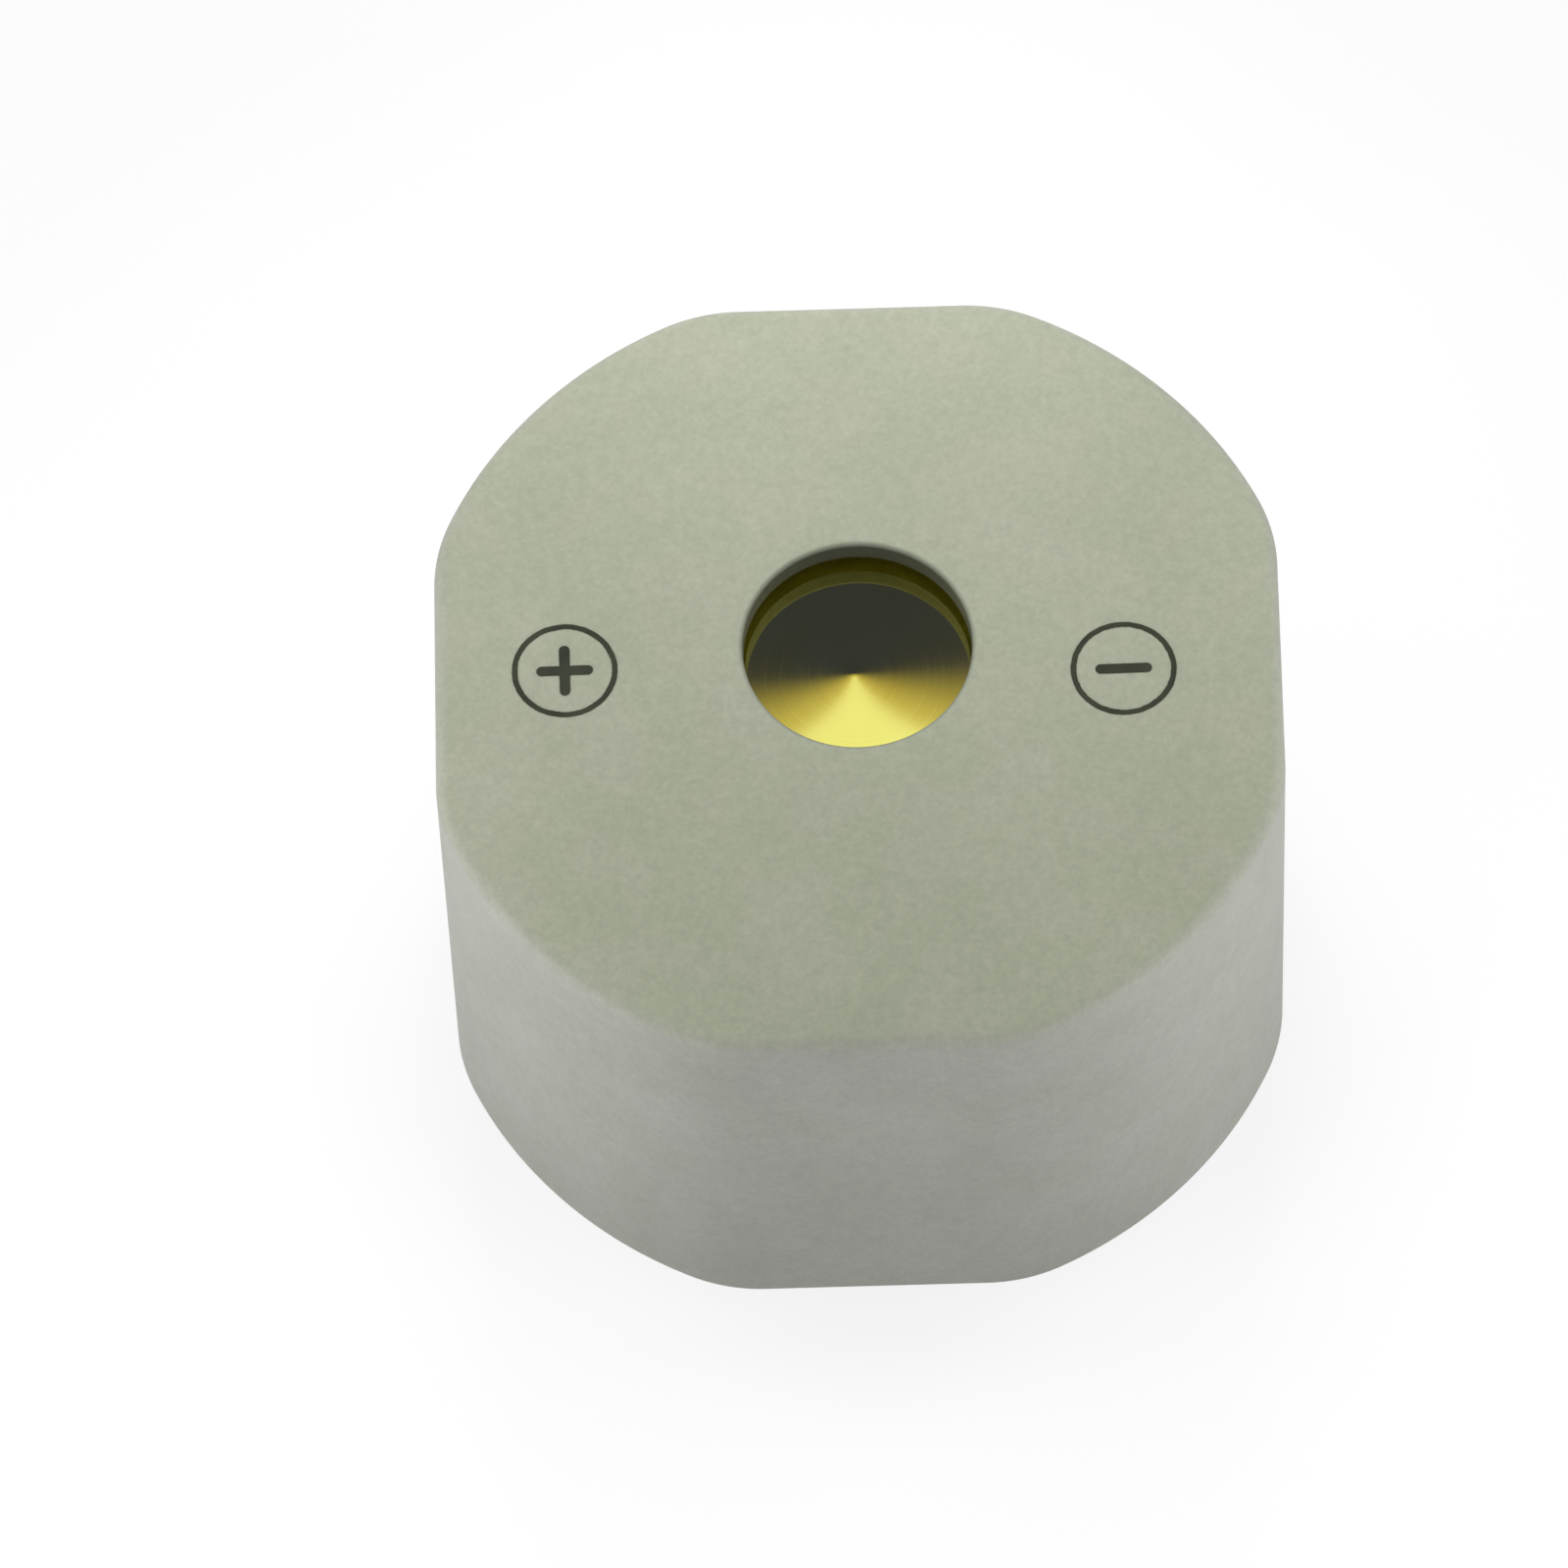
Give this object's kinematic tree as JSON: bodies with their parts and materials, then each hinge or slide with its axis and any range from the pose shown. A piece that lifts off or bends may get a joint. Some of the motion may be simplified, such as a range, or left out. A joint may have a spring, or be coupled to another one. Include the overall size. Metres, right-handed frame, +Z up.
{
  "type": "piezo buzzer",
  "caption": "Round grey piezo buzzer with flats on its sides, a sound port in its top over a brass disc, a drive circuit inside and pins below for a circuit board.",
  "frame": {"origin": "midway between the two pins, on the plane that the housing's rim sits on", "axes": "+Z up through the sound port, +X from the positive pin to the negative pin, +Y to the back"},
  "size_m": [0.0236, 0.0236, 0.019],
  "materials": {
    "housing_plastic": "moulded, fine matte texture",
    "brass_disc": "rolled sheet, lightly brushed",
    "piezo_ceramic": "fired, matte",
    "silver_print": "fired silver, satin",
    "silicone": "cured bead, satin",
    "board_laminate": "coated glass laminate",
    "track_copper": "etched copper",
    "ferrite": "sintered, matte",
    "enamelled_copper": "wound enamelled wire",
    "tinned_metal": "tin plated, satin",
    "solder": "bright solder",
    "black_epoxy": "moulded epoxy",
    "chip_body": "glazed chip",
    "red_insulation": "thin wire insulation",
    "white_insulation": "thin wire insulation",
    "black_insulation": "thin wire insulation",
    "potting": "poured epoxy, glossy"
  },
  "bodies": {
    "root": {"housing": "housing_plastic", "diaphragm": "brass_disc", "ceramic_disc": "piezo_ceramic", "drive_electrode": "silver_print", "feedback_electrode": "silver_print", "bond_ring": "silicone", "circuit_board": "board_laminate", "copper_tracks": "track_copper", "choke_core": "ferrite", "choke_winding": "enamelled_copper", "choke_terminals": "tinned_metal", "transistor": "black_epoxy", "transistor_leads": "tinned_metal", "diode": "black_epoxy", "diode_leads": "tinned_metal", "bias_resistor": "chip_body", "feedback_resistor": "chip_body", "damping_resistor": "chip_body", "resistor_end_caps": "tinned_metal", "drive_lead": "red_insulation", "feedback_lead": "white_insulation", "ground_lead": "black_insulation", "element_solder": "solder", "board_solder": "solder", "pin_solder": "solder", "positive_pin": "tinned_metal", "negative_pin": "tinned_metal", "potting_resin": "potting"}
  },
  "joints": []
}
